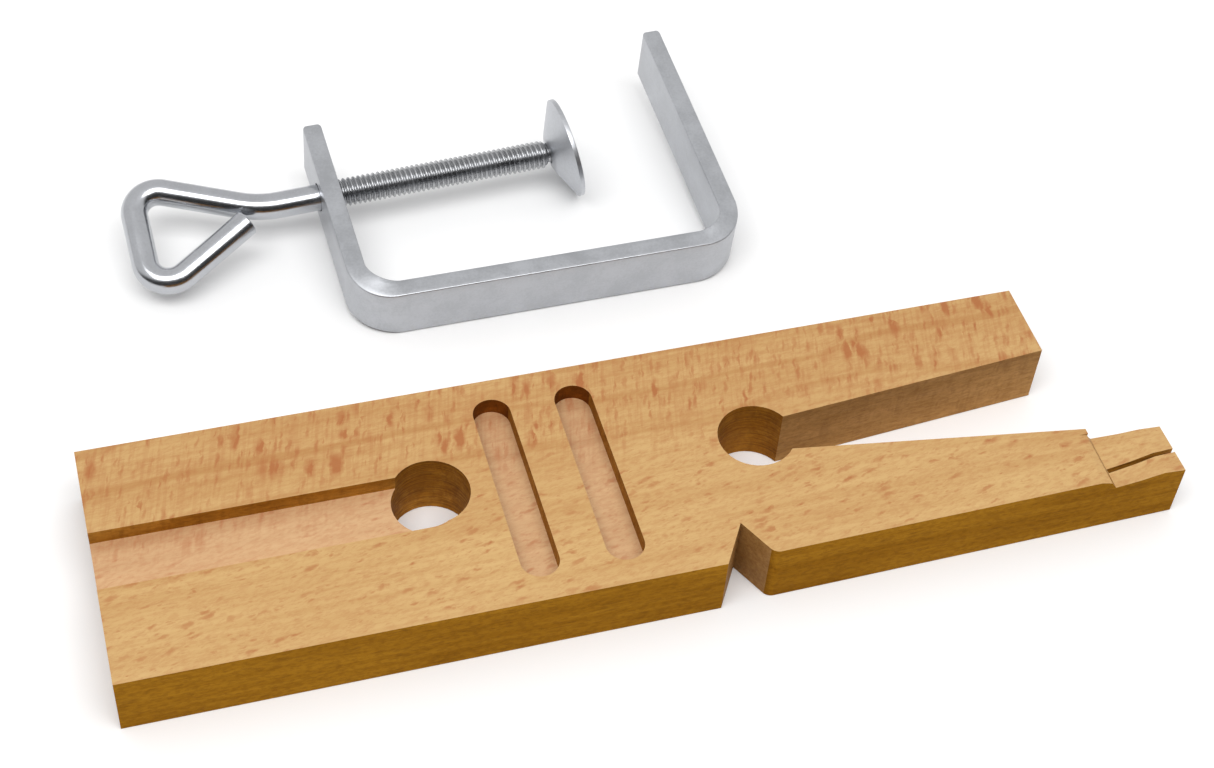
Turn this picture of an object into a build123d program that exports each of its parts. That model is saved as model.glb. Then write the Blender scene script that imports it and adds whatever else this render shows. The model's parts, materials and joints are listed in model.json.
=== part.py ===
from build123d import *
import math
import os

os.makedirs("parts", exist_ok=True)

# A wooden bench pin and the loose steel C-clamp that fixes it to a bench. Millimetres.
# The origin is the centre of the board's underside. +X runs along the board from the grooved end to the
# V-slot, +Y across it, +Z up. The clamp lies behind the board on the same surface, z = 0.

# ---- board ----
BOARD_LENGTH = 270.0
BOARD_WIDTH = 70.0
BOARD_THICK = 18.0
FRONT_TAPER = 2.4            # the front edge comes in this much by the tip
GROOVE_WIDTH = 17.0          # seat of the clamp jaw
GROOVE_DEPTH = 4.2
GROOVE_Y = 0.7
GROOVE_SHORT = 2.0           # its rounded end is centred this far before the fixing hole's middle
HOLE_DIA = 19.6
FIXING_HOLE = (82.0, 2.9)    # distance from the grooved end, then Y
SAW_HOLE = (165.8, 1.9)
CROSS_SLOTS = (102.6, 123.9)
SLOT_WIDTH = 9.7
SLOT_DEPTH = 4.8
SLOT_ENDS = (-28.2, 28.6)    # Y of the slots' rounded ends
SHOULDER = 249.4             # where both arms of the V end, from the grooved end
V_START = 172.0
V_ROOT = (6.1, -4.1)         # Y of the V's back and front wall at its start
V_MOUTH = (12.6, -15.3)      # and at the shoulder
TONGUE_BACK = -17.4          # Y of the tongue's back edge
TONGUE_TOP_BACK = ((246.8, 18.0), (249.0, 17.6), (250.2, 16.3), (258.0, 16.1), (264.0, 16.3), (271.0, 15.8))
TONGUE_TOP_FRONT = ((246.2, 18.0), (249.2, 17.0), (250.8, 14.7), (257.0, 15.5), (264.0, 16.9), (271.0, 16.1))
FILE_OVERRUN = 0.5           # the filed flat runs this far past the tongue's back edge
CUT_HEADROOM = 2.0           # cuts from above start this far above the board
KERF_WIDTH = 1.2
KERF_START = (250.6, -27.8)
KERF_END = (272.0, -25.5)
NOTCH = ((146.4, -35.0), (153.2, -23.8), (158.6, -34.4))
NOTCH_ROUND = 2.7

# ---- clamp frame: flat bar, in its own axes u (along the screw), v (spine to leg ends), w (bar width) ----
BAR_THICK = 5.2
BAR_WIDTH = 16.5
OPENING = 100.0
BEND_INSIDE = 7.8
SCREW_LEG = 58.7
JAW_LEG = 75.3
SCREW_LEG_LEAN = 1.6         # degrees, both legs lean the same way
JAW_LEG_LEAN = 1.95
LEG_ROUND = 1.3              # at the leg ends, across the bar's thickness
BAR_EDGE = 0.5
SCREW_HEIGHT = 39.5          # above the spine's inside face

# ---- clamp screw ----
SCREW_CANT = 1.0             # degrees, its hole is tapped this far off square, in the plane of the clamp
THREAD_DIA = 7.9
THREAD_FIT = 0.06            # radial clearance in the leg
ROD_DIA = 7.3
THREAD_LENGTH = 65.0         # from the leg's outside face when fully fed in
NECK_DIA = 5.0
NECK_LENGTH = 3.5
HEAD_DIA = 8.0
HEAD_THICK = 1.5
THREAD_CHAMFER = 0.5

# Handle, in the plane turned HANDLE_TURN about the screw: distance out from the leg, then to the side.
HANDLE_TURN = 13.2
HANDLE_KNEE = (17.9, 0.0)
HANDLE_CORNERS = ((50.9, 14.0), (51.7, -21.2))
HANDLE_END = (22.3, -5.1)
HANDLE_END_LIFT = 3.7        # the free end rides up beside the shank, just clear of it
KNEE_RADIUS = 27.8
CORNER_RADIUS = 6.5

# ---- pressure pad: a dished disc that hangs loose on the neck ----
PAD_DIA = 28.6
PAD_FLAT = 5.0               # radius of its flat middle; from there it is a cone
PAD_HOLE_DIA = 6.2
PAD_SHEET = 1.3
PAD_DISH = 4.7               # how far the rim stands forward of the middle
PAD_LIP = 0.6
PAD_GAP = 0.9                # from the thread's end to the pad
PAD_TILT_UP = 9.0            # degrees, how the loose pad leans
PAD_TILT_SIDE = 2.0

# ---- where the clamp lies ----
CLAMP_X = -52.3
CLAMP_Y = 76.6
CLAMP_HEADING = 0.4          # degrees
ROLL_LIMIT = 15.0            # degrees, the clamp leans back less than this onto its pad
ROLL_STEPS = 30              # halvings in the search for that lean


def from_end(x):
    """X of a point given by its distance from the grooved end."""
    return x - BOARD_LENGTH / 2


def tongue_section(y, points):
    """Space above the filed tongue at one Y, as a face."""
    top = BOARD_THICK + CUT_HEADROOM
    outline = [(from_end(x), y, z) for x, z in points]
    outline += [(from_end(points[-1][0]), y, top), (from_end(points[0][0]), y, top)]
    return make_face(Polyline(*outline, close=True))


def board():
    half = BOARD_WIDTH / 2
    front_tip = -half + FRONT_TAPER
    outline = [(0, -half), *NOTCH, (BOARD_LENGTH, front_tip), (BOARD_LENGTH, TONGUE_BACK)]
    outline += [(SHOULDER, TONGUE_BACK), (SHOULDER, V_MOUTH[1]), (V_START, V_ROOT[1]), (V_START, V_ROOT[0])]
    outline += [(SHOULDER, V_MOUTH[0]), (SHOULDER, half), (0, half)]
    plan = make_face(Polyline(*[(from_end(x), y) for x, y in outline], close=True))
    corner = plan.vertices().sort_by_distance((from_end(NOTCH[2][0]), NOTCH[2][1], 0))[0]
    body = extrude(fillet(corner, NOTCH_ROUND), BOARD_THICK)

    for x, y in (FIXING_HOLE, SAW_HOLE):
        body -= Pos(from_end(x), y, BOARD_THICK / 2) * Cylinder(HOLE_DIA / 2, BOARD_THICK * 2)

    length = FIXING_HOLE[0] - GROOVE_SHORT
    groove = Box(length, GROOVE_WIDTH, GROOVE_DEPTH, align=(Align.MIN, Align.CENTER, Align.MIN))
    groove_end = Cylinder(GROOVE_WIDTH / 2, GROOVE_DEPTH, align=(Align.CENTER, Align.CENTER, Align.MIN))
    groove += Pos(length, 0, 0) * groove_end
    body -= Pos(from_end(0), GROOVE_Y, BOARD_THICK - GROOVE_DEPTH) * groove

    slot_length = SLOT_ENDS[1] - SLOT_ENDS[0]
    slot = extrude(Rot(0, 0, 90) * SlotOverall(slot_length, SLOT_WIDTH), SLOT_DEPTH)
    for x in CROSS_SLOTS:
        body -= Pos(from_end(x), sum(SLOT_ENDS) / 2, BOARD_THICK - SLOT_DEPTH) * slot

    filed_front = tongue_section(-half, TONGUE_TOP_FRONT)
    filed_back = tongue_section(TONGUE_BACK + FILE_OVERRUN, TONGUE_TOP_BACK)
    body -= loft([filed_front, filed_back], ruled=True)

    run = Vector(*KERF_END) - Vector(*KERF_START)
    angle = math.degrees(math.atan2(run.Y, run.X))
    kerf = Box(run.length, KERF_WIDTH, BOARD_THICK * 3, align=(Align.MIN, Align.CENTER, Align.CENTER))
    body -= Pos(from_end(KERF_START[0]), KERF_START[1], 0) * Rot(0, 0, angle) * kerf
    return body


def leg_points(foot, lean, side, length):
    """Outside corner, outside end and inside end of a leg whose inside face meets the spine at u = foot."""
    a = math.radians(lean)
    along = Vector(-math.sin(a), math.cos(a))
    across = Vector(side * math.cos(a), side * math.sin(a)) * BAR_THICK
    down = (BAR_THICK + across.Y) / along.Y
    start = Vector(foot, 0)
    return start + across - along * down, start + across + along * length, start + along * length


def clamp_frame():
    corner_l, out_l, in_l = leg_points(0, SCREW_LEG_LEAN, -1, SCREW_LEG)
    corner_r, out_r, in_r = leg_points(OPENING, JAW_LEG_LEAN, 1, JAW_LEG)
    inside_l = Vector(0, 0)
    inside_r = Vector(OPENING, 0)
    profile = make_face(Polyline(out_l, corner_l, corner_r, out_r, in_r, inside_r, inside_l, in_l, close=True))
    for points, radius in (((inside_l, inside_r), BEND_INSIDE), ((corner_l, corner_r), BEND_INSIDE + BAR_THICK)):
        chosen = [profile.vertices().sort_by_distance(p)[0] for p in points]
        profile = fillet(chosen, radius)
    ends = [profile.vertices().sort_by_distance(p)[0] for p in (out_l, in_l, out_r, in_r)]
    body = Pos(0, 0, -BAR_WIDTH / 2) * extrude(fillet(ends, LEG_ROUND), BAR_WIDTH)
    body = fillet(body.edges(), BAR_EDGE)
    return body - screw_axis() * Cylinder(THREAD_DIA / 2 + THREAD_FIT, BAR_THICK * 3)


def screw_axis():
    """Location in the clamp's axes: origin on the screw leg's outside face, +Z along the screw to the jaw."""
    a = math.radians(SCREW_LEG_LEAN + SCREW_CANT)
    along = Vector(math.cos(a), math.sin(a), 0)
    inside = Vector(0, SCREW_HEIGHT, 0)
    plane = Plane(origin=inside - along * BAR_THICK, x_dir=Vector(-math.sin(a), math.cos(a), 0), z_dir=along)
    return plane.location


def handle_point(out, side, lift=0.0):
    """A point of the handle, in the screw's axes (x to the side, z along the screw)."""
    t = math.radians(HANDLE_TURN)
    return Vector(side * math.cos(t) - lift * math.sin(t), side * math.sin(t) + lift * math.cos(t), -out)


def handle_rod():
    """The bent rod: straight runs joined by tangent bends, from the leg out to the free end."""
    corners = [handle_point(*c) for c in HANDLE_CORNERS]
    route = [Vector(0, 0, 0), handle_point(*HANDLE_KNEE), *corners, handle_point(*HANDLE_END, HANDLE_END_LIFT)]
    radii = [KNEE_RADIUS, CORNER_RADIUS, CORNER_RADIUS]
    section = Circle(ROD_DIA / 2)
    pieces = []
    here = route[0]
    for before, corner, after, radius in zip(route, route[1:], route[2:], radii):
        into = (before - corner).normalized()
        out = (after - corner).normalized()
        half = math.radians(into.get_angle(out)) / 2
        start = corner + into * (radius / math.tan(half))
        centre = corner + (into + out).normalized() * (radius / math.sin(half))
        axle = Axis(centre, (start - centre).cross(-into))
        run = start - here
        pieces.append(extrude(Plane(origin=here, z_dir=run) * section, run.length))
        pieces.append(revolve(Plane(origin=start, z_dir=run) * section, axle, 180 - math.degrees(2 * half)))
        here = corner + out * (radius / math.tan(half))
    run = route[-1] - here
    pieces.append(extrude(Plane(origin=here, z_dir=run) * section, run.length))
    rod = pieces[0]
    for piece in pieces[1:]:
        rod += piece
    return rod


def clamp_screw():
    thread = Cylinder(THREAD_DIA / 2, THREAD_LENGTH, align=(Align.CENTER, Align.CENTER, Align.MIN))
    thread = chamfer(thread.edges().filter_by(GeomType.CIRCLE), THREAD_CHAMFER)
    neck = Pos(0, 0, THREAD_LENGTH) * Cylinder(
        NECK_DIA / 2, NECK_LENGTH, align=(Align.CENTER, Align.CENTER, Align.MIN))
    head = Cylinder(HEAD_DIA / 2, HEAD_THICK, align=(Align.CENTER, Align.CENTER, Align.MIN))
    head = chamfer(head.edges().group_by(Axis.Z)[-1], HEAD_THICK / 2)
    head = Pos(0, 0, THREAD_LENGTH + NECK_LENGTH) * head
    shank = Cylinder(ROD_DIA / 2, THREAD_CHAMFER, align=(Align.CENTER, Align.CENTER, Align.MIN))
    return screw_axis() * (handle_rod() + shank + thread + neck + head)


def pressure_pad():
    rim = PAD_DIA / 2
    hole = PAD_HOLE_DIA / 2
    back = [(hole, 0, 0), (PAD_FLAT, 0, 0), (rim, 0, PAD_DISH)]
    front = [(rim - PAD_LIP, 0, PAD_DISH + PAD_SHEET), (PAD_FLAT, 0, PAD_SHEET), (hole, 0, PAD_SHEET)]
    disc = revolve(make_face(Polyline(*back, *front, close=True)), Axis.Z)
    lean = Rot(0, PAD_TILT_SIDE, 0) * Rot(-PAD_TILT_UP, 0, 0)
    middle = Pos(0, 0, THREAD_LENGTH + PAD_GAP + PAD_SHEET / 2)
    return screw_axis() * middle * lean * Pos(0, 0, -PAD_SHEET / 2) * disc


def resting_place(pad):
    """Location that lays the clamp down on the rim of its pad and the lower edge of its spine."""
    def lowest(roll):
        return (Rot(roll, 0, 0) * pad).bounding_box().min.Z

    def spine(roll):
        a = math.radians(roll)
        return -BAR_THICK * math.sin(a) - BAR_WIDTH / 2 * math.cos(a)

    low, high = 0.0, ROLL_LIMIT
    for _ in range(ROLL_STEPS):
        middle = (low + high) / 2
        if lowest(middle) < spine(middle):
            low = middle
        else:
            high = middle
    return Pos(CLAMP_X, CLAMP_Y, -spine(low)) * Rot(0, 0, CLAMP_HEADING) * Rot(low, 0, 0)


pad_in_clamp = pressure_pad()
clamp_place = resting_place(pad_in_clamp)
nodes = {
    "bench_pin_board": board(),
    "clamp_frame": clamp_place * clamp_frame(),
    "clamp_screw": clamp_place * clamp_screw(),
    "pressure_pad": clamp_place * pad_in_clamp,
}
for name, solid in nodes.items():
    export_step(solid, f"parts/{name}.step")
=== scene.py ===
import json
import math

import bmesh
import bpy
from mathutils import Matrix, Quaternion, Vector


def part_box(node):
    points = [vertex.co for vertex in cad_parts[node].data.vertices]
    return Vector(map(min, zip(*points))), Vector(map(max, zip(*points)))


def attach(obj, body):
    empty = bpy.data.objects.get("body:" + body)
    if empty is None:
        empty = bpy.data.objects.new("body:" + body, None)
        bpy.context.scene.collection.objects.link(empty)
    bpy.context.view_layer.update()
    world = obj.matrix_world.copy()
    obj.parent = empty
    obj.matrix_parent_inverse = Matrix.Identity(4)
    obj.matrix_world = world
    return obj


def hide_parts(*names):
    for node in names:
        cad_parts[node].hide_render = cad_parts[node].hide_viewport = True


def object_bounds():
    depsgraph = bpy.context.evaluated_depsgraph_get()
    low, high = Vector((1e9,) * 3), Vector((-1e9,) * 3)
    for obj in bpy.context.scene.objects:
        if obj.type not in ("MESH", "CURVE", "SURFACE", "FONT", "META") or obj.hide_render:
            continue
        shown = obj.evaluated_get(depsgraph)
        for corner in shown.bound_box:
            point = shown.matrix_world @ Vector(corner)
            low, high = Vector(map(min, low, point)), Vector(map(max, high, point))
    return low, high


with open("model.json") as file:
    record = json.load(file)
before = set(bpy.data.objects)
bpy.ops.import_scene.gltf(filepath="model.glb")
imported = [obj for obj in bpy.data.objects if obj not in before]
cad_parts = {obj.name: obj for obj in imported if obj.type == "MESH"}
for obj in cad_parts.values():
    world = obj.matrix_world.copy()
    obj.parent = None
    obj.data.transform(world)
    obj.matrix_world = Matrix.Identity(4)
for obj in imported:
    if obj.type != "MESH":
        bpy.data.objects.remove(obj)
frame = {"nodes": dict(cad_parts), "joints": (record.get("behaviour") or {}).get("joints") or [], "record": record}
cad_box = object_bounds()

# A wooden bench pin and the loose steel C-clamp that fixes it to a bench.
# Lengths named here are in millimetres and angles in degrees. MM turns millimetres into Blender's metres.
MM = 0.001
PI2 = 2 * math.pi
WELD = 1e-6                  # metres; vertices nearer than this become one

# ---- board ----
HOLE = 9.8                   # radius of both drilled holes
HOLE_MARGIN = 0.2
CUT_FLOOR = 12.5             # the routed floors and walls lie between these heights
CUT_CEILING = 14.5
SLOT_END = 22.0              # past this Y the router scorched the slots' far ends
KERF_START = 115.0           # the saw kerf in the tongue runs from this X,
KERF_Y = -26.6               # near this Y
KERF_REACH = 1.9
FRONT_TAPER = 2.6
EDGE_ROUND = 0.3
EDGE_SEGMENTS = 2
FLAT_TURN = 0.5              # faces that meet at less than this are merged
SHARP_TURN = 25              # edges that turn by more than this are rounded
LEVEL = 0.6                  # a normal with more Z than this is level wood
SLOT_END_NORMAL = -0.3       # a normal with less Y than this is the slots' far end
FRONT_NORMAL = -0.55         # and with less than this, the board's front edge

# ---- clamp frame: flat bar, in its own axes u (along the screw), v (spine to leg ends), w (bar width) ----
BAR_THICK = 5.2
BAR_WIDTH = 16.5
OPENING = 100.0
BEND_INSIDE = 7.8
SCREW_LEG = 58.7
JAW_LEG = 75.3
SCREW_LEG_LEAN = 1.6
JAW_LEG_LEAN = 1.95
LEG_ROUND = 1.3              # at the leg ends, across the bar's thickness
LEG_ROUND_STEPS = 6
BAR_EDGE = 0.35
SCREW_HEIGHT = 39.5          # above the spine's inside face
SCREW_CANT = 1.0             # off square to its leg
BEND_SWELL = 0.8             # bending thickens the inside of a bend and draws in its outside
EDGE_STEPS = 3
THICK_STEPS = 4
WIDTH_STEPS = 5
BAR_BEND_STEP = 4.0
BAR_RUN_STEP = 8.0
BAR_CREASE = 40              # edges that turn by more than this stay crisp
TAP = 4.01                   # radius of the screw's hole
TAP_REACH = 4.0

# ---- clamp screw, in its own axes: z along the screw from the leg's outside face ----
PITCH = 25.4 / 18
THREAD_LENGTH = 65.0
THREAD_CREST = 3.95          # radii
THREAD_ROOT = 3.2
ROD = 3.65
NECK = 2.5
NECK_LENGTH = 3.5
NECK_STEP = 0.01             # the thread's end face drops to the neck within this
HEAD = 4.0
HEAD_THICK = 1.5
TIP = 2.9
RUNOUT = 2.2                 # over this length the thread dies out into the rod
COLUMNS = 48
ROD_CREASE = 32
THREAD_PROFILE = ((0.00, 0.0), (0.07, 0.0), (0.18, 0.33), (0.29, 0.67), (0.40, 0.93),
                  (0.46, 1.0), (0.56, 1.0), (0.62, 0.93), (0.74, 0.67), (0.86, 0.33))

# Handle, in the plane turned HANDLE_TURN about the screw: distance out from the leg, then to the side.
HANDLE_TURN = 13.2
HANDLE_KNEE = (17.9, 0.0)
HANDLE_CORNERS = ((50.9, 14.0), (51.7, -21.2))
HANDLE_END = (22.3, -5.1)
HANDLE_END_LIFT = 3.7
KNEE_RADIUS = 27.8
CORNER_RADIUS = 6.5
END_CHAMFER = 0.35
BEND_STEP = 5.0              # between rings in a bend
RUN_STEP = 6.0

# ---- pressure pad ----
PAD = 14.3
PAD_FLAT = 5.0               # its flat middle; from there it is a cone
PAD_SOFT = 0.8               # over about this length the flat turns into the cone
PAD_HOLE = 3.1
PAD_SHEET = 1.3
PAD_DISH = 4.7
PAD_LIP = 0.6
PAD_GAP = 0.9
PAD_TILT_UP = 9.0
PAD_TILT_SIDE = 2.0
PAD_RINGS = 14
PAD_COLUMNS = 96
PAD_CREASE = 40
RIM_EASE = ((0.0, 0.3), (0.1, 0.08), (0.3, 0.0))     # in from the rim, then down from its top

# ---- beech: grain runs along X; sizes are along the grain, across it and in depth; turns are in plan ----
TEAR = (2.2, 2.2, 2.2)       # flecks have torn edges, shifted by up to half of TEAR_REACH
TEAR_REACH = 1.7
BACK_EDGE = (10, 32)         # from the first Y to the second the front's look gives way to the back's
BACK_DRIFT = (60, 30, 30)
BACK_DRIFT_REACH = 30
RING_STEP = 15.5             # growth rings show as lines this far apart
RING_WANDER = (100, 45, 45)
RING_WANDER_REACH = 30
RING_LEAN = 0.6              # Y that a ring moves by for each millimetre of Z
RING_SLANT = -0.035          # and for each millimetre of X
RING_SHOWN = (0.72, 1.0)
STREAKS = {"sizes": (60, 1.6, 1.6), "detail": 4, "rough": 0.6}
STREAKS_SHOWN = (0.3, 0.72)
BROAD_STREAKS = {"sizes": (70, 9, 9), "detail": 3, "rough": 0.55, "shown": (0.35, 0.68)}
LEAF = {"sizes": (2.4, 0.8, 0.8), "turn": -15, "detail": 3, "rough": 0.7, "shown": (0.42, 0.62)}
PORES = {"sizes": (4.5, 0.3, 0.3), "rough": 0.6, "shown": (0.56, 0.76)}
RIPPLE = {"sizes": (0.8, 12, 12), "turn": 14, "detail": 3, "shown": (0.42, 0.66)}
RAY_PATCHES = {"sizes": (30, 14, 14), "shown": (0.36, 0.56)}
DRILL_SCORES = {"sizes": (16, 16, 0.35), "rough": 0.6, "shown": (0.46, 0.62)}
SCORCH_PATCHES = {"sizes": (4, 4, 5), "detail": 3, "shown": (0.3, 0.7)}

# Ray flecks: the reach is that of the largest, the share is that of the places which have one.
TICKS = {"sizes": (5.6, 1.7, 1.7), "turn": -15, "reach": 0.52, "share": 0.55, "strength": 0.7}
FINE_TICKS = {"sizes": (2.8, 0.9, 0.9), "turn": -13, "reach": 0.48, "share": 0.75, "strength": 0.4}
RAYS = {"sizes": (3.2, 9.5, 9.5), "turn": 13, "reach": 0.55, "share": 0.9, "strength": 1.0}
HATCH = {"sizes": (1.2, 5.5, 5.5), "turn": 17, "reach": 0.6, "share": 0.95, "strength": 0.75}
SMALLEST_FLECK = 0.1
FLECK_EDGE = (0.25, 1.05)
FLECK_CHOICE = 0.1           # how softly a fleck is present or left out
RIPPLE_STRENGTH = 0.24
DARKEST_FLECK = 0.9

STREAK_DEPTH = 0.35          # how much each of these deepens the wood's colour
RING_DEPTH = 0.4
BACK_DEPTH = 0.22
PORE_DEPTH = 0.3
END_GRAIN_DEPTH = 0.35
END_FACING = (0.35, 0.95)
WOOD_ROUGH = (0.5, 0.68)
WOOD_RELIEF = 0.07
PORE_RELIEF = -0.8
STREAK_RELIEF = 0.5
RELIEF_STRENGTH = 0.5

# ---- zinc ----
CLOUD = {"sizes": (9, 9, 9), "detail": 4, "rough": 0.6}
GRIT = {"sizes": (0.7, 0.7, 0.7), "detail": 3, "rough": 0.7}
CLOUD_SHARE = 0.6
ZINC_SHOWN = (0.35, 0.65)
ZINC_ROUGH_SHOWN = (0.3, 0.7)
SMOOTHEST = 0.8              # parts of the roughness that is asked for
ROUGHEST = 1.25
GRIT_RELIEF = 0.01
GRIT_STRENGTH = 0.35

# ---- studio, in metres ----
FLOOR_HALF = 4.0
FLOOR_GAP = 0.0002           # below the object
FLOOR_GREY = 0.9
LIGHT_PLACE = (-0.15, -0.5, 1.4)
LIGHT_AIM = (0, 0.05, 0)
LIGHT_SIZE = (1.7, 0.75)
LIGHT_POWER = 18.0
SKY_TILT = 45.0              # the room is bright above and behind the object, and dark on the camera's side
SKY_EDGE = (-0.1, 0.25)
SKY_DARK = 0.05
SKY_STRENGTH = 0.8

# ---- camera ----
CAMERA_PLACE = (-128.9, -326.0, 440.5)
CAMERA_AIM = (0.22589, 0.62460, -0.74756)
CAMERA_ROLL = 5.19
LENS = 65.38
SENSOR = 36.0
CLIP = (0.01, 20)            # metres


# ---------------------------------------------------------------- shader nodes

class Nodes:
    """A node tree, with short calls for its nodes."""

    def __init__(self, tree):
        self.tree = tree

    def node(self, kind, inputs=None, **settings):
        made = self.tree.nodes.new("ShaderNode" + kind)
        for key, value in settings.items():
            setattr(made, key, value)
        for key, value in (inputs or {}).items():
            self.feed(made.inputs[key], value)
        return made

    def feed(self, socket, value):
        """Links a node's output into the socket, or sets it to a value."""
        if isinstance(value, bpy.types.NodeSocket):
            self.tree.links.new(value, socket)
        else:
            socket.default_value = value

    def math(self, operation, a, b=0.0, c=0.0):
        return self.node("Math", {0: a, 1: b, 2: c}, operation=operation).outputs[0]

    def vector(self, operation, a, b):
        return self.node("VectorMath", {0: a, 1: b}, operation=operation).outputs[0]

    def scaled(self, a, factor):
        return self.node("VectorMath", {0: a, "Scale": factor}, operation="SCALE").outputs[0]

    def place(self):
        """Object coordinates in millimetres."""
        return self.scaled(self.node("TexCoord").outputs["Object"], 1 / MM)

    def stretched(self, at, sizes, turn=0.0):
        """The place in steps of `sizes` millimetres, turned in plan by `turn` degrees."""
        inputs = {"Vector": at, "Rotation": (0, 0, math.radians(turn))}
        turned = self.node("Mapping", inputs, vector_type="POINT").outputs[0]
        return self.vector("MULTIPLY", turned, tuple(1 / s for s in sizes))

    def noise(self, at, sizes, turn=0.0, detail=2.0, rough=0.5, shown=None):
        """Noise in steps of `sizes`. If a part of its range is `shown`, that part runs from 0 to 1."""
        where = self.stretched(at, sizes, turn)
        inputs = {"Vector": where, "Scale": 1.0, "Detail": detail, "Roughness": rough}
        value = self.node("TexNoise", inputs).outputs["Fac"]
        return self.between(value, *shown) if shown else value

    def cells(self, at):
        """Distance to the nearest random point, and that point's random colour."""
        made = self.node("TexVoronoi", {"Vector": at, "Scale": 1.0, "Randomness": 1.0})
        return made.outputs["Distance"], made.outputs["Color"]

    def between(self, value, low, high, to_low=0.0, to_high=1.0):
        """The value's way from low to high, smoothed."""
        inputs = {"Value": value, "From Min": low, "From Max": high, "To Min": to_low, "To Max": to_high}
        return self.node("MapRange", inputs, interpolation_type="SMOOTHSTEP").outputs[0]

    def mix(self, amount, a, b, blend="MIX"):
        """Colours a and b, mixed."""
        made = self.node("Mix", data_type="RGBA", blend_type=blend)
        sockets = [s for s in made.inputs if s.enabled]
        for socket, value in zip(sockets, (amount, a, b)):
            self.feed(socket, value)
        return next(s for s in made.outputs if s.enabled)


class Shader(Nodes):
    """One material and its surface."""

    def __init__(self, name, **finish):
        self.material = bpy.data.materials.new(name)
        self.material.use_nodes = True
        super().__init__(self.material.node_tree)
        self.surface = self.tree.nodes["Principled BSDF"]
        for socket, value in finish.items():
            self.set(socket.replace("_", " "), value)

    def set(self, socket, value):
        self.feed(self.surface.inputs[socket], value)

    def bump(self, height, distance, strength):
        made = self.node("Bump", {"Height": height, "Distance": distance * MM, "Strength": strength})
        self.set("Normal", made.outputs[0])


def rgb(red, green, blue):
    """A colour given in 0 to 255 screen values, as the linear colour that a shader takes."""
    def linear(c):
        c /= 255
        return c / 12.92 if c <= 0.04045 else ((c + 0.055) / 1.055) ** 2.4

    return (linear(red), linear(green), linear(blue), 1.0)


# ---------------------------------------------------------------- materials

SCORCH = rgb(72, 34, 8)
END_GRAIN = rgb(150, 122, 104)


def torn(s, at):
    """The place, shifted at random."""
    inputs = {"Vector": s.stretched(at, TEAR), "Scale": 1.0, "Detail": 2.0}
    shift = s.node("TexNoise", inputs).outputs["Color"]
    shift = s.vector("SUBTRACT", shift, (0.5, 0.5, 0.5))
    return s.vector("ADD", at, s.scaled(shift, TEAR_REACH))


def ray_flecks(s, at, sizes, turn, reach, share, strength):
    """Soft spots of one size and slant, some of them left out, from 0 to the strength."""
    distance, pick = s.cells(s.stretched(at, sizes, turn))
    chosen, width, depth = s.node("SeparateColor", {0: pick}).outputs
    radius = s.math("MULTIPLY_ADD", width, reach, SMALLEST_FLECK)
    shape = s.between(s.math("DIVIDE", distance, radius), *FLECK_EDGE, 1.0, 0.0)
    depth = s.math("MULTIPLY_ADD", depth, 0.5, 0.5)
    present = s.between(chosen, 1 - share, 1 - share + FLECK_CHOICE)
    spots = s.math("MULTIPLY", s.math("MULTIPLY", shape, depth), present)
    return s.math("MULTIPLY", spots, strength)


def back_share(s, at):
    """0 at the board's front, 1 at its back, where it is cut nearer to the rays."""
    y = s.node("SeparateXYZ", {0: at}).outputs[1]
    drift = s.noise(at, BACK_DRIFT)
    return s.between(s.math("MULTIPLY_ADD", drift, BACK_DRIFT_REACH, y), *BACK_EDGE)


def ring_lines(s, at):
    """Lines where growth rings reach the surface, from 0 to 1."""
    x, y, z = s.node("SeparateXYZ", {0: at}).outputs
    across = s.math("MULTIPLY_ADD", z, RING_LEAN, y)
    across = s.math("MULTIPLY_ADD", s.noise(at, RING_WANDER), RING_WANDER_REACH, across)
    across = s.math("MULTIPLY_ADD", x, RING_SLANT, across)
    return s.between(s.math("SINE", s.math("MULTIPLY", across, PI2 / RING_STEP)), *RING_SHOWN)


def grain_tone(s, at, streaks, back, grain):
    """How deep the wood's colour is: streaks along the grain, then rings and a deeper tone at the back."""
    tone = s.math("MULTIPLY", s.between(streaks, *STREAKS_SHOWN), STREAK_DEPTH * grain)
    tone = s.math("MULTIPLY_ADD", s.noise(at, **BROAD_STREAKS), STREAK_DEPTH * grain, tone)
    tone = s.math("MULTIPLY_ADD", s.math("MULTIPLY", ring_lines(s, at), back), RING_DEPTH, tone)
    return s.math("MULTIPLY_ADD", back, BACK_DEPTH, tone)


def ray_marks(s, at, back):
    """Short ticks along the grain at the front; broader flecks and a ripple across it at the back."""
    place = torn(s, at)
    along = s.math("ADD", ray_flecks(s, place, **TICKS), ray_flecks(s, place, **FINE_TICKS))
    rays = s.math("MULTIPLY", ray_flecks(s, place, **RAYS), s.noise(at, **RAY_PATCHES))
    across = s.math("ADD", ray_flecks(s, place, **HATCH), rays)
    across = s.math("MULTIPLY_ADD", s.noise(at, **RIPPLE), RIPPLE_STRENGTH, across)
    front = s.math("SUBTRACT", 1.0, back)
    return s.math("MULTIPLY_ADD", across, back, s.math("MULTIPLY", along, front))


def end_grain(s):
    """1 on faces that look along the grain, 0 on those beside it."""
    facing = s.node("SeparateXYZ", {0: s.node("TexCoord").outputs["Normal"]}).outputs[0]
    return s.between(s.math("ABSOLUTE", facing), *END_FACING)


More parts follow.
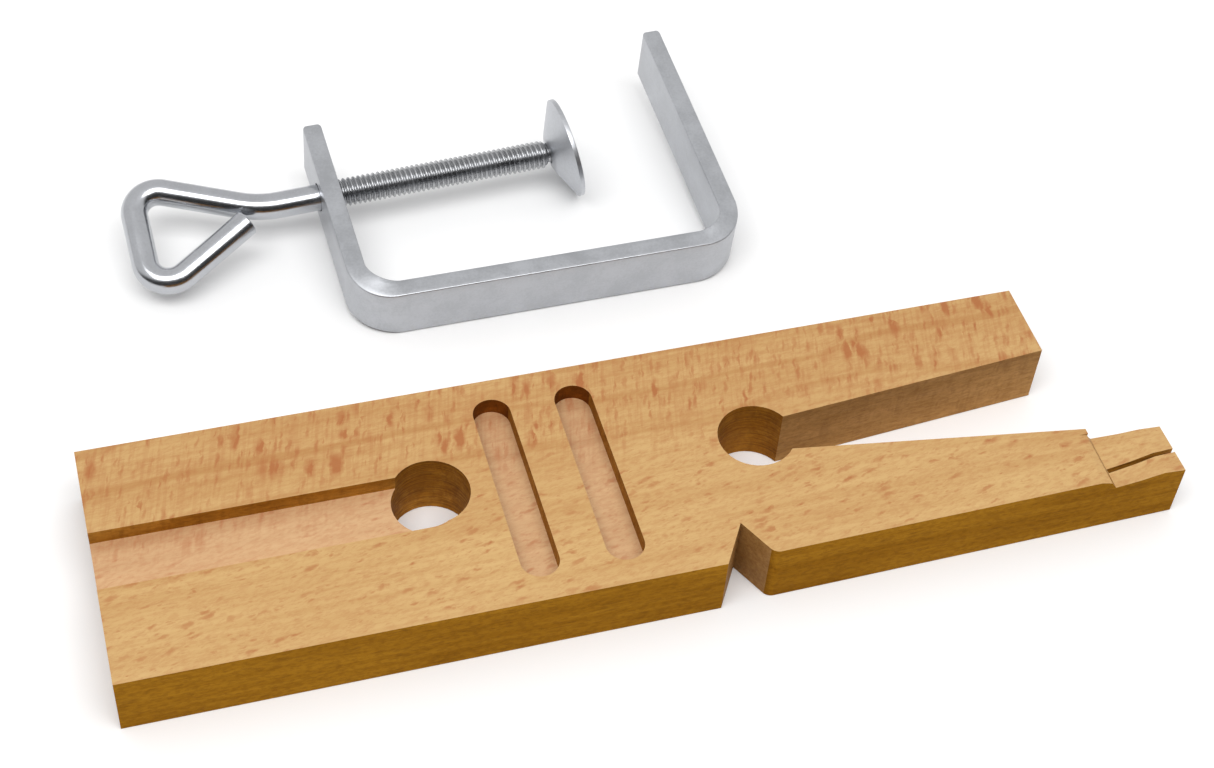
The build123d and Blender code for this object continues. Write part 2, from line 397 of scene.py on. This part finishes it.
def beech(name, pale, deep, fleck, flecks=1.0, grain=1.0, mottle=0.3, burnt=0.0, scored=0.0, gloss=0.3):
    """Bare beech: streaks and rings, ray flecks and pores, and on some cuts scores and scorches."""
    s = Shader(name, Specular_IOR_Level=gloss)
    at = s.place()
    back = back_share(s, at)
    streaks = s.noise(at, **STREAKS)
    pores = s.noise(at, **PORES)
    marks = s.math("MULTIPLY", ray_marks(s, at, back), flecks)

    colour = s.mix(grain_tone(s, at, streaks, back, grain), pale, deep)
    colour = s.mix(s.math("MINIMUM", marks, DARKEST_FLECK), colour, fleck)
    colour = s.mix(s.math("MULTIPLY", s.noise(at, **LEAF), mottle), colour, fleck)
    colour = s.mix(s.math("MULTIPLY", pores, PORE_DEPTH * grain), colour, fleck)
    colour = s.mix(s.math("MULTIPLY", end_grain(s), END_GRAIN_DEPTH), colour, END_GRAIN, "MULTIPLY")
    if scored:
        colour = s.mix(s.math("MULTIPLY", s.noise(at, **DRILL_SCORES), scored), colour, SCORCH)
    if burnt:
        colour = s.mix(s.math("MULTIPLY", s.noise(at, **SCORCH_PATCHES), burnt), colour, SCORCH)
    s.set("Base Color", colour)

    smooth, rough = WOOD_ROUGH
    s.set("Roughness", s.node("MapRange", {"Value": streaks, "To Min": smooth, "To Max": rough}).outputs[0])
    height = s.math("MULTIPLY_ADD", pores, PORE_RELIEF, s.math("MULTIPLY", streaks, STREAK_RELIEF))
    s.bump(height, WOOD_RELIEF, RELIEF_STRENGTH)
    return s.material


PLANED, SAWN_PAINTED_SHADE, WALL, DRILLED, ROUTED, ROUTED_WALL, BURNT = range(7)


def cut_finishes():
    """The board's materials, in the order of the names above."""
    return (
        beech("beech_planed", rgb(201, 165, 109), rgb(179, 134, 80), rgb(164, 98, 52), mottle=0.22),
        # Sawn sides: partly the sawn wood's own tone, partly painted shade, darker and more saturated than the top
        # for the less light the sides get.
        beech("beech_sawn_painted_shade", rgb(172, 120, 28), rgb(144, 95, 15), rgb(96, 56, 8),
              flecks=0.4, grain=1.6, gloss=0.02),
        beech("beech_wall", rgb(194, 148, 88), rgb(166, 122, 66), rgb(118, 76, 36),
              flecks=0.4, grain=1.6, gloss=0.1),
        beech("beech_drilled", rgb(204, 144, 54), rgb(170, 112, 30), rgb(116, 66, 16),
              flecks=0.4, grain=1.6, burnt=0.15, scored=0.4, gloss=0.05),
        beech("beech_routed", rgb(206, 168, 124), rgb(188, 146, 104), rgb(170, 100, 60),
              flecks=0.8, mottle=0.2),
        beech("beech_routed_wall", rgb(202, 144, 60), rgb(170, 112, 34), rgb(116, 68, 16),
              flecks=0.4, grain=1.6, burnt=0.2, gloss=0.05),
        beech("beech_burnt", rgb(160, 92, 28), rgb(128, 68, 14), rgb(84, 40, 8),
              flecks=0.2, burnt=0.6, gloss=0.05),
    )


def zinc(name, colour, rough, mottle):
    """Zinc-plated steel: a satin metal, slightly cloudy and gritty."""
    s = Shader(name, Metallic=1.0, Roughness=rough)
    at = s.place()
    cloud = s.noise(at, **CLOUD)
    grit = s.noise(at, **GRIT)
    tone = s.math("ADD", s.math("MULTIPLY", cloud, CLOUD_SHARE), s.math("MULTIPLY", grit, 1 - CLOUD_SHARE))
    darker = tuple(c * (1 - mottle * 2) for c in colour[:3]) + (1.0,)
    s.set("Base Color", s.mix(s.between(tone, *ZINC_SHOWN), darker, colour))
    low, high = ZINC_ROUGH_SHOWN
    inputs = {"Value": tone, "From Min": low, "From Max": high,
              "To Min": rough * SMOOTHEST, "To Max": rough * ROUGHEST}
    s.set("Roughness", s.node("MapRange", inputs).outputs[0])
    s.bump(grit, GRIT_RELIEF, GRIT_STRENGTH)
    return s.material


def plain_floor():
    colour = (FLOOR_GREY, FLOOR_GREY, FLOOR_GREY, 1.0)
    return Shader("floor_paper", Base_Color=colour, Roughness=0.9, Specular_IOR_Level=0.1).material


# ---------------------------------------------------------------- mesh helpers

def piece(name, mesh, body, *materials):
    """An object of this mesh that rides on a CAD body."""
    made = bpy.data.objects.new(name, mesh)
    bpy.context.scene.collection.objects.link(made)
    for material in materials:
        mesh.materials.append(material)
    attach(made, body)
    return made


def mesh_of(b, name):
    """The finished mesh of a bmesh, which is freed."""
    mesh = bpy.data.meshes.new(name)
    b.to_mesh(mesh)
    b.free()
    return mesh


def smooth_mesh(b, name, crease):
    """The same, smooth except at edges that turn by more than `crease`."""
    for face in b.faces:
        face.smooth = True
    mesh = mesh_of(b, name)
    mesh.set_sharp_from_angle(angle=math.radians(crease))
    return mesh


def band(b, before, after):
    """Faces between two rings of the same number of vertices."""
    count = len(before)
    for j in range(count):
        k = (j + 1) % count
        b.faces.new((before[j], before[k], after[k], after[j]))


def round_ring(b, place, radius, columns):
    """A ring of vertices in the XY plane of a place."""
    ring = []
    for j in range(columns):
        a = PI2 * j / columns
        ring.append(b.verts.new(place @ Vector((radius * math.cos(a), radius * math.sin(a), 0))))
    return ring


def bent_line(route, radii, bend_step, run_step):
    """Points along straight runs joined by round bends, each with how far into a bend it is, 0 to 1."""
    line = [(route[0], 0.0)]
    for before, corner, after, radius in zip(route, route[1:], route[2:], radii):
        into = (before - corner).normalized()
        out = (after - corner).normalized()
        half = into.angle(out) / 2
        start = corner + into * (radius / math.tan(half))
        centre = corner + (into + out).normalized() * (radius / math.sin(half))
        add_run(line, start, run_step)
        turn = math.pi - 2 * half
        axle = (start - centre).cross(-into).normalized()
        steps = max(2, round(math.degrees(turn) / bend_step))
        for i in range(1, steps + 1):
            point = centre + Quaternion(axle, turn * i / steps) @ (start - centre)
            line.append((point, math.sin(math.pi * i / steps)))
    add_run(line, route[-1], run_step)
    return line


def add_run(line, end, run_step):
    """A straight run from the last point to the end, in steps."""
    start = line[-1][0].copy()
    steps = max(1, round((end - start).length / run_step))
    for i in range(1, steps + 1):
        line.append((start.lerp(end, i / steps), 0.0))


# ---------------------------------------------------------------- board

def board_piece():
    """The CAD board with its edges eased, and one finish for each kind of cut; the sawn sides' finish is darkened
    with painted shade.
    """
    mesh = frame["nodes"]["bench_pin_board"].data.copy()
    mesh.name = "board"
    mesh.materials.clear()
    b = bmesh.new()
    b.from_mesh(mesh)
    bmesh.ops.remove_doubles(b, verts=b.verts, dist=WELD)
    bmesh.ops.dissolve_limit(b, angle_limit=math.radians(FLAT_TURN), verts=b.verts, edges=b.edges)
    sharp = [e for e in b.edges if e.is_manifold and e.calc_face_angle(0) > math.radians(SHARP_TURN)]
    bmesh.ops.bevel(b, geom=sharp, offset=EDGE_ROUND * MM, segments=EDGE_SEGMENTS, profile=0.5,
                    affect="EDGES", clamp_overlap=True)
    b.normal_update()
    low, high = (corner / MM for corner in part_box("bench_pin_board"))
    holes = hole_centres()
    for face in b.faces:
        face.smooth = True
        face.material_index = cut_of(face, low, high, holes)
    b.to_mesh(mesh)
    b.free()
    made = piece("board", mesh, "board", *cut_finishes())
    weighted = made.modifiers.new("even_shading", "WEIGHTED_NORMAL")
    weighted.keep_sharp = True
    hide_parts("bench_pin_board")


def cut_of(face, low, high, holes):
    """Which cut made this face of the board, whose box runs from low to high."""
    at = face.calc_center_median() / MM
    foot = min(v.co.z for v in face.verts) / MM
    if abs(face.normal.z) > LEVEL:
        return ROUTED if CUT_FLOOR < at.z < CUT_CEILING and at.x < 0 else PLANED
    if foot > CUT_FLOOR and at.x < 0:
        return BURNT if face.normal.y < SLOT_END_NORMAL and at.y > SLOT_END else ROUTED_WALL
    if any((at.xy - hole).length < HOLE + HOLE_MARGIN for hole in holes) or in_kerf(at):
        return DRILLED
    inset = min(at.x - low.x, high.x - at.x, high.y - at.y, at.y - low.y)
    # The outer sides and the front edge take the sawn finish, which carries painted shade.
    outer_front = face.normal.y < FRONT_NORMAL and at.y < low.y + FRONT_TAPER
    return SAWN_PAINTED_SHADE if inset < EDGE_ROUND or outer_front else WALL


def in_kerf(at):
    """Whether a point is on the walls of the saw kerf in the tongue."""
    return at.x > KERF_START and abs(at.y - KERF_Y) < KERF_REACH


def hole_centres():
    """Middles of the two drilled holes, from the record."""
    record = frame["record"]
    fixing = next(m for m in record["mounts"] if m["name"] == "fixing_hole")
    saw = next(o for o in record["physics"]["openings"] if o["name"] == "saw_hole")
    low, high = (Vector(corner) for corner in saw["box_m"])
    return [Vector(fixing["pos_m"]).xy / MM, ((low + high) / 2).xy / MM]


# ---------------------------------------------------------------- clamp screw

def screw_place():
    """The screw's axes in the row frame: z along it, y across the bar, origin on the leg's outside face."""
    hinge = next(j for j in frame["joints"] if j["name"] == "screw_turn")
    jaw = next(m for m in frame["record"]["mounts"] if m["name"] == "jaw_face")
    origin = Vector(hinge["pos_m"])
    along = Vector(hinge["axis"]).normalized()
    to_jaw = Vector(jaw["pos_m"]) - origin
    across = along.cross(to_jaw).normalized()
    up = across.cross(along)
    turned = Matrix((up, across, along)).transposed().to_4x4()
    return Matrix.Translation(origin) @ turned @ Matrix.Scale(MM, 4)


def handle_point(out, side, lift=0.0):
    t = math.radians(HANDLE_TURN)
    return Vector((side * math.cos(t) - lift * math.sin(t), side * math.sin(t) + lift * math.cos(t), -out))


def handle_route():
    """Centre line of the bent rod from the leg to its free end."""
    corners = [handle_point(*corner) for corner in HANDLE_CORNERS]
    free_end = handle_point(*HANDLE_END, HANDLE_END_LIFT)
    route = [Vector((0, 0, 0)), handle_point(*HANDLE_KNEE), *corners, free_end]
    line = bent_line(route, [KNEE_RADIUS, CORNER_RADIUS, CORNER_RADIUS], BEND_STEP, RUN_STEP)
    return [point for point, _ in line]


def add_handle(b, first_ring, place):
    """The bent rod, from its first ring at the leg to its square-cut free end."""
    points = handle_route()
    turn = Quaternion()
    heading = Vector((0, 0, -1))
    ring = first_ring
    last = len(points) - 1
    for i in range(1, last + 1):
        ahead = (points[min(i + 1, last)] - points[i - 1]).normalized()
        turn = heading.rotation_difference(ahead) @ turn
        heading = ahead
        at = Matrix.Translation(points[i]) @ turn.to_matrix().to_4x4()
        if i < last:
            after = round_ring(b, place @ at, ROD, COLUMNS)
        else:
            back = Matrix.Translation(-ahead * END_CHAMFER) @ at
            after = round_ring(b, place @ back, ROD, COLUMNS)
            band(b, ring, after)
            ring = after
            after = round_ring(b, place @ at, ROD - END_CHAMFER, COLUMNS)
        band(b, ring, after)
        ring = after
    b.faces.new(ring)


def thread_radius(z, phase):
    """Radius of the thread at a height, on one row of its profile."""
    share = THREAD_PROFILE[phase][1]
    radius = THREAD_ROOT + (THREAD_CREST - THREAD_ROOT) * share
    begun = min(1.0, max(0.0, z / RUNOUT))
    radius = ROD + (radius - ROD) * begun
    return min(radius, TIP + (THREAD_LENGTH - z))


def add_thread(b, place):
    """The rolled thread. Its rows follow the helix, so its crests stay crisp."""
    phases = len(THREAD_PROFILE)
    turns = math.ceil(THREAD_LENGTH / PITCH) + 1
    rows = []
    for i in range(-phases, turns * phases):
        turn, phase = divmod(i, phases)
        row = []
        for j in range(COLUMNS):
            z = (turn + THREAD_PROFILE[phase][0] + j / COLUMNS) * PITCH
            z = min(max(z, 0.0), THREAD_LENGTH)
            r = thread_radius(z, phase)
            a = PI2 * j / COLUMNS
            row.append(b.verts.new(place @ Vector((r * math.cos(a), r * math.sin(a), z))))
        rows.append(row)
    for row, above in zip(rows, rows[1:]):
        for j in range(COLUMNS - 1):
            b.faces.new((row[j], row[j + 1], above[j + 1], above[j]))
    last = COLUMNS - 1
    for i in range(len(rows) - 1 - phases):
        b.faces.new((rows[i][last], rows[i + phases][0], rows[i + 1 + phases][0], rows[i + 1][last]))


def add_neck(b, place):
    """The thread's end face, the neck that holds the pad, and the peened head."""
    neck_end = THREAD_LENGTH + NECK_LENGTH
    steps = (
        (THREAD_LENGTH, TIP),
        (THREAD_LENGTH + NECK_STEP, NECK),
        (neck_end, NECK),
        (neck_end, HEAD),
        (neck_end + HEAD_THICK / 2, HEAD),
        (neck_end + HEAD_THICK, HEAD - HEAD_THICK / 2),
    )
    rings = [round_ring(b, place @ Matrix.Translation((0, 0, z)), radius, COLUMNS) for z, radius in steps]
    for before, after in zip(rings, rings[1:]):
        band(b, before, after)
    b.faces.new(rings[-1])


def screw_piece(place):
    """The rod: bent handle, thread, neck and head."""
    b = bmesh.new()
    add_thread(b, place)
    add_handle(b, round_ring(b, place, ROD, COLUMNS), place)
    add_neck(b, place)
    bmesh.ops.remove_doubles(b, verts=b.verts, dist=WELD)
    bmesh.ops.dissolve_degenerate(b, edges=b.edges, dist=WELD)
    bmesh.ops.recalc_face_normals(b, faces=b.faces)
    back = place.inverted()
    for face in b.faces:
        threaded = (back @ face.calc_center_median()).z > 0
        face.material_index = 1 if threaded else 0
    mesh = smooth_mesh(b, "clamp_screw_rod", ROD_CREASE)
    made = piece("clamp_screw_rod", mesh, "screw",
                 zinc("bright_rod", rgb(190, 192, 196), 0.2, 0.05),
                 zinc("rolled_thread", rgb(180, 181, 183), 0.27, 0.06))
    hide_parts("clamp_screw")


# ---------------------------------------------------------------- pressure pad

def dish_height(rim, r):
    """Height of the dish at radius r: flat in the middle, then a cone that rises by PAD_DISH at the rim."""
    past = r - PAD_FLAT
    return (past + math.hypot(past, PAD_SOFT)) / 2 * PAD_DISH / (rim - PAD_FLAT)


def dish_side(rim, height):
    """Radius and height along one side of the dish, from its hole to its rim."""
    radii = [PAD_HOLE + (rim - PAD_HOLE) * i / PAD_RINGS for i in range(PAD_RINGS + 1)]
    return [(r, height + dish_height(rim, r)) for r in radii]


def pad_piece(screw):
    """The dished pad, spun round its own axis, leaning loose on the neck."""
    top = PAD_DISH + PAD_SHEET
    lip = [(PAD - inwards, top - down) for inwards, down in RIM_EASE]
    profile = dish_side(PAD, 0.0) + lip + dish_side(PAD - PAD_LIP, PAD_SHEET)[::-1]
    middle = Matrix.Translation((0, 0, THREAD_LENGTH + PAD_GAP + PAD_SHEET / 2))
    lean_side = Matrix.Rotation(math.radians(PAD_TILT_SIDE), 4, "Y")
    lean_up = Matrix.Rotation(math.radians(-PAD_TILT_UP), 4, "X")
    place = screw @ middle @ lean_side @ lean_up @ Matrix.Translation((0, 0, -PAD_SHEET / 2))
    b = bmesh.new()
    rings = [round_ring(b, place @ Matrix.Translation((0, 0, z)), r, PAD_COLUMNS) for r, z in profile]
    for before, after in zip(rings, rings[1:] + rings[:1]):
        band(b, before, after)
    bmesh.ops.recalc_face_normals(b, faces=b.faces)
    mesh = smooth_mesh(b, "clamp_pad", PAD_CREASE)
    made = piece("clamp_pad", mesh, "pad", zinc("zinc_pad", rgb(200, 202, 206), 0.38, 0.08))
    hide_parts("pressure_pad")


# ---------------------------------------------------------------- clamp frame

def bar_section(half_width):
    """Outline of the flat bar: t outwards across its thickness, w across its width, with eased edges."""
    half = BAR_THICK / 2
    outline = []
    for corner in range(4):
        t_sign = 1 if corner in (0, 3) else -1
        w_sign = 1 if corner in (0, 1) else -1
        middle = Vector((t_sign * (half - BAR_EDGE), w_sign * (half_width - BAR_EDGE)))
        for i in range(EDGE_STEPS + 1):
            a = (corner + i / EDGE_STEPS) * math.pi / 2
            edge = middle + Vector((math.cos(a), math.sin(a))) * BAR_EDGE
            outline.append(edge)
        along_thickness = corner in (0, 2)
        count = THICK_STEPS if along_thickness else WIDTH_STEPS
        far = Vector((-edge.x, edge.y)) if along_thickness else Vector((edge.x, -edge.y))
        for i in range(1, count):
            outline.append(edge.lerp(far, i / count))
    return outline


def leg(foot, lean, side, length):
    """Centre line of one leg: its corner with the spine's centre line, then its end."""
    half = BAR_THICK / 2
    a = math.radians(lean)
    up = Vector((-math.sin(a), math.cos(a), 0))
    middle = Vector((foot, 0, 0)) + Vector((math.cos(a), math.sin(a), 0)) * side * half
    return middle - up * ((half + middle.y) / up.y), middle + up * length


def frame_line():
    """Centre line of the bar in its own axes u, v, from the screw leg's end to the jaw leg's end."""
    screw_corner, screw_end = leg(0, SCREW_LEG_LEAN, -1, SCREW_LEG)
    jaw_corner, jaw_end = leg(OPENING, JAW_LEG_LEAN, 1, JAW_LEG)
    route = [screw_end, screw_corner, jaw_corner, jaw_end]
    return bent_line(route, [BEND_INSIDE + BAR_THICK / 2] * 2, BAR_BEND_STEP, BAR_RUN_STEP)


def leg_end_stations(end, inwards):
    """Places near a leg's end, where it rounds off: point, bend, half the width, inset of its faces."""
    stations = []
    for i in range(LEG_ROUND_STEPS + 1):
        a = math.pi / 2 * (1 - i / LEG_ROUND_STEPS)
        d = LEG_ROUND * (1 - math.sin(a))
        inset = LEG_ROUND * (1 - math.cos(a))
        past = max(BAR_EDGE - d, 0)
        narrower = BAR_EDGE - math.sqrt(BAR_EDGE**2 - past**2)
        stations.append((end + inwards * d, 0.0, BAR_WIDTH / 2 - narrower, inset))
    return stations


def bar_stations():
    """All places along the bar where its outline is drawn."""
    line = [(point, bend, BAR_WIDTH / 2, 0.0) for point, bend in frame_line()]
    first = (line[1][0] - line[0][0]).normalized()
    last = (line[-2][0] - line[-1][0]).normalized()
    return leg_end_stations(line[0][0], first) + line[1:-1] + leg_end_stations(line[-1][0], last)[::-1]


def bar_ring(b, place, station, ahead):
    """The bar's outline at one place. It swells inside a bend and draws in outside it."""
    point, bend, half_width, inset = station
    half = BAR_THICK / 2
    outwards = Vector((ahead.y, -ahead.x, 0))
    ring = []
    for t, w in bar_section(half_width):
        swell = -BEND_SWELL * bend * t / half * w / half_width
        local = point + outwards * (t * (1 - inset / half)) + Vector((0, 0, w + swell))
        ring.append(b.verts.new(place @ local))
    return ring


def bar_place(screw):
    """The bar's axes u, v, w in the row frame, from those of the screw."""
    lean = Matrix.Rotation(math.radians(-SCREW_LEG_LEAN - SCREW_CANT), 4, "Y")
    swap = Matrix(((0, 1, 0, 0), (0, 0, 1, 0), (1, 0, 0, 0), (0, 0, 0, 1)))
    corner = Matrix.Translation((0, 0, BAR_THICK)) @ lean @ Matrix.Translation((-SCREW_HEIGHT, 0, 0))
    return screw @ corner @ swap


def frame_piece(screw):
    """The bent bar with the screw's hole."""
    place = bar_place(screw)
    stations = bar_stations()
    points = [station[0] for station in stations]
    b = bmesh.new()
    rings = []
    for i, station in enumerate(stations):
        ahead = (points[min(i + 1, len(points) - 1)] - points[max(i - 1, 0)]).normalized()
        rings.append(bar_ring(b, place, station, ahead))
    for before, after in zip(rings, rings[1:]):
        band(b, before, after)
    b.faces.new(rings[0])
    b.faces.new(rings[-1])
    bmesh.ops.recalc_face_normals(b, faces=b.faces)
    mesh = drilled(mesh_of(b, "solid_bar"), screw)
    made = piece("clamp_bar", mesh, "frame", zinc("zinc_bar", rgb(191, 193, 197), 0.4, 0.09))
    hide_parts("clamp_frame")


def drill_mesh(screw):
    """A rod through the screw leg."""
    b = bmesh.new()
    ends = (-TAP_REACH, BAR_THICK + TAP_REACH)
    rings = [round_ring(b, screw @ Matrix.Translation((0, 0, z)), TAP, COLUMNS) for z in ends]
    band(b, *rings)
    for ring in rings:
        b.faces.new(ring)
    bmesh.ops.recalc_face_normals(b, faces=b.faces)
    return mesh_of(b, "drill")


def drilled(solid, screw):
    """The bar's mesh with the screw's hole cut through its leg."""
    bar = bpy.data.objects.new("solid_bar", solid)
    cutter = bpy.data.objects.new("drill", drill_mesh(screw))
    for made in (bar, cutter):
        bpy.context.scene.collection.objects.link(made)
    cut = bar.modifiers.new("hole", "BOOLEAN")
    cut.operation = "DIFFERENCE"
    cut.solver = "EXACT"
    cut.object = cutter
    graph = bpy.context.evaluated_depsgraph_get()
    mesh = bpy.data.meshes.new_from_object(bar.evaluated_get(graph))
    mesh.name = "clamp_bar"
    for made in (bar, cutter):
        bpy.data.objects.remove(made)
    mesh.polygons.foreach_set("use_smooth", [True] * len(mesh.polygons))
    mesh.set_sharp_from_angle(angle=math.radians(BAR_CREASE))
    return mesh


# ---------------------------------------------------------------- studio

def floor():
    b = bmesh.new()
    bmesh.ops.create_grid(b, x_segments=1, y_segments=1, size=FLOOR_HALF)
    mesh = mesh_of(b, "floor")
    mesh.materials.append(plain_floor())
    made = bpy.data.objects.new("floor", mesh)
    made.location.z = cad_box[0].z - FLOOR_GAP
    bpy.context.scene.collection.objects.link(made)


def overhead_light():
    data = bpy.data.lights.new("overhead", "AREA")
    data.shape = "RECTANGLE"
    data.size, data.size_y = LIGHT_SIZE
    data.energy = LIGHT_POWER
    made = bpy.data.objects.new("overhead", data)
    made.location = LIGHT_PLACE
    made.rotation_mode = "QUATERNION"
    made.rotation_quaternion = (Vector(LIGHT_AIM) - Vector(LIGHT_PLACE)).to_track_quat("-Z", "Y")
    bpy.context.scene.collection.objects.link(made)


def sky():
    """A grey world that is bright on one side, with a soft edge."""
    world = bpy.data.worlds.new("studio")
    bpy.context.scene.world = world
    world.use_nodes = True
    s = Nodes(world.node_tree)
    tilt = math.radians(SKY_TILT)
    looking = s.node("TexCoord").outputs["Generated"]
    towards = (0, math.sin(tilt), math.cos(tilt))
    height = s.node("VectorMath", {0: looking, 1: towards}, operation="DOT_PRODUCT").outputs["Value"]
    ground = s.tree.nodes["Background"]
    s.feed(ground.inputs["Color"], s.between(height, *SKY_EDGE, SKY_DARK, 1.0))
    s.feed(ground.inputs["Strength"], SKY_STRENGTH)


def camera():
    data = bpy.data.cameras.new("camera")
    data.lens = LENS
    data.sensor_width = SENSOR
    data.clip_start, data.clip_end = CLIP
    made = bpy.data.objects.new("camera", data)
    made.location = Vector(CAMERA_PLACE) * MM
    made.rotation_mode = "QUATERNION"
    aim = Vector(CAMERA_AIM).to_track_quat("-Z", "Y")
    made.rotation_quaternion = aim @ Quaternion((0, 0, 1), math.radians(CAMERA_ROLL))
    bpy.context.scene.collection.objects.link(made)
    bpy.context.scene.camera = made


board_piece()
screw_axes = screw_place()
screw_piece(screw_axes)
pad_piece(screw_axes)
frame_piece(screw_axes)
floor()
overhead_light()
sky()
camera()
bpy.context.scene.view_settings.view_transform = "Standard"
